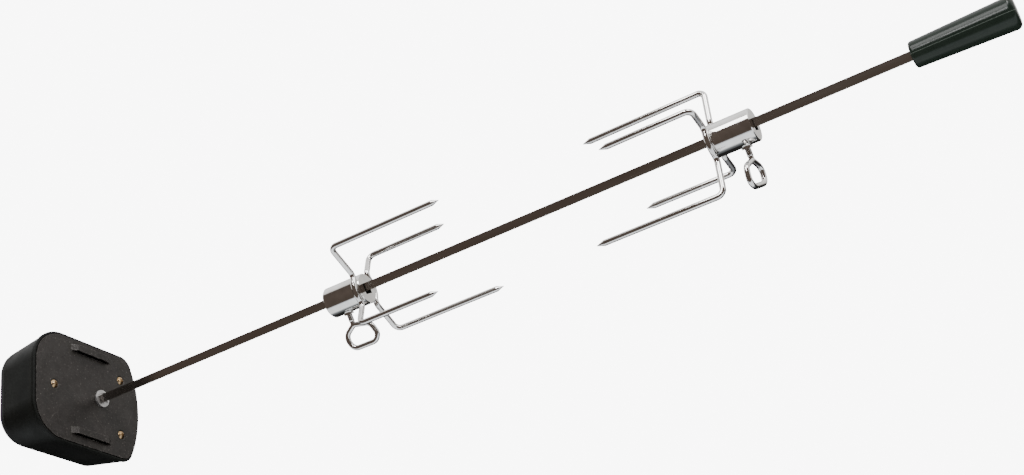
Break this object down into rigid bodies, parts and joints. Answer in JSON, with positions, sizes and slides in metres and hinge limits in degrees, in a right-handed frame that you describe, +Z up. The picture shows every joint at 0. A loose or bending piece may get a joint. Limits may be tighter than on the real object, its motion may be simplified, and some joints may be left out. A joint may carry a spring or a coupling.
{
  "type": "rotisserie spit roaster",
  "caption": "Battery gear motor in a wedge-shaped case turning a square spit bar with sliding wire meat forks, thumbscrews and a push-on handle.",
  "frame": {"origin": "outer face of the motor's mounting plate, at the plate's mid height, between its two bracket bridges", "axes": "+X along the spit from the motor to the handle, +Z up as the motor hangs on its bracket, +Y across the plate on the drive socket's side"},
  "size_m": [1.0567, 0.1505, 0.1221],
  "materials": {
    "case_plastic": "satin",
    "plate_steel": "satin",
    "screw_brass": "bright",
    "chrome_wire": "polished",
    "chrome_hub": "polished",
    "spit_steel": "bright",
    "grip_plastic": "gloss",
    "socket_metal": "satin",
    "gear_plastic": "satin",
    "bush_plastic": "satin",
    "inner_steel": "satin",
    "magnet_ferrite": "matt",
    "cell_jacket": "gloss",
    "contact_metal": "bright",
    "lead_sleeve": "gloss"
  },
  "bodies": {
    "motor_case": {"motor_housing": "case_plastic", "mounting_plate": "plate_steel", "plate_screws": "screw_brass", "front_bush": "bush_plastic", "rear_bush": "bush_plastic", "gear_frame": "inner_steel", "frame_posts": "inner_steel", "frame_screws": "inner_steel", "gear_axles": "inner_steel", "motor_can": "inner_steel", "motor_magnets": "magnet_ferrite", "motor_endcap": "bush_plastic", "battery_tray": "case_plastic", "battery_cells": "cell_jacket", "battery_contacts": "contact_metal", "switch_body": "bush_plastic", "motor_leads": "lead_sleeve"},
    "drive": {"drive_socket": "socket_metal", "output_gear": "gear_plastic"},
    "second_gear": {"gear_second": "gear_plastic"},
    "first_gear": {"gear_first": "gear_plastic"},
    "rotor": {"motor_shaft": "inner_steel", "motor_pinion": "gear_plastic", "motor_armature": "inner_steel"},
    "spit": {"spit_bar": "spit_steel"},
    "grip": {"spit_handle": "grip_plastic"},
    "fork_left": {"fork_hub_left": "chrome_hub", "fork_near_wire_left": "chrome_wire", "fork_far_wire_left": "chrome_wire"},
    "fork_right": {"fork_hub_right": "chrome_hub", "fork_near_wire_right": "chrome_wire", "fork_far_wire_right": "chrome_wire"},
    "screw_left": {"thumbscrew_left": "chrome_wire"},
    "screw_right": {"thumbscrew_right": "chrome_wire"},
    "door": {"battery_door": "case_plastic"},
    "switch": {"switch_knob": "case_plastic"}
  },
  "joints": [
    {"name": "drive_turn", "type": "hinge", "parent": "motor_case", "child": "drive", "pos_m": [0, 0.016, 0.002], "axis": [1, 0, 0], "continuous": true},
    {"name": "second_gear_turn", "type": "hinge", "parent": "motor_case", "child": "second_gear", "pos_m": [0, -0.013, 0.00976], "axis": [1, 0, 0], "continuous": true},
    {"name": "first_gear_turn", "type": "hinge", "parent": "motor_case", "child": "first_gear", "pos_m": [0, -0.025, 0.03055], "axis": [1, 0, 0], "continuous": true},
    {"name": "rotor_turn", "type": "hinge", "parent": "motor_case", "child": "rotor", "pos_m": [0, -0.0419, 0.02439], "axis": [1, 0, 0], "continuous": true},
    {"name": "spit_pull", "type": "slide", "parent": "drive", "child": "spit", "axis": [1, 0, 0], "range_m": [0, 0.05]},
    {"name": "grip_pull", "type": "slide", "parent": "spit", "child": "grip", "axis": [1, 0, 0], "range_m": [0, 0.06]},
    {"name": "fork_left_slide", "type": "slide", "parent": "spit", "child": "fork_left", "axis": [1, 0, 0], "range_m": [-0.26, 0.1]},
    {"name": "fork_right_slide", "type": "slide", "parent": "spit", "child": "fork_right", "axis": [1, 0, 0], "range_m": [-0.1, 0.13]},
    {"name": "screw_left_turn", "type": "hinge", "parent": "fork_left", "child": "screw_left", "pos_m": [0.31675, 0.0167, 0.00068], "axis": [0, 0.4695, -0.8829], "continuous": true},
    {"name": "screw_right_turn", "type": "hinge", "parent": "fork_right", "child": "screw_right", "pos_m": [0.74335, 0.0167, 0.00068], "axis": [0, 0.4695, -0.8829], "continuous": true},
    {"name": "door_pull", "type": "slide", "parent": "motor_case", "child": "door", "axis": [-1, 0, 0], "range_m": [0, 0.03]},
    {"name": "switch_slide", "type": "slide", "parent": "motor_case", "child": "switch", "axis": [0, 0, 1], "range_m": [0, 0.006]}
  ],
  "couplings": [
    {"joint": "second_gear_turn", "follows": "drive_turn", "ratio": -4},
    {"joint": "first_gear_turn", "follows": "drive_turn", "ratio": 16},
    {"joint": "rotor_turn", "follows": "drive_turn", "ratio": -80}
  ]
}
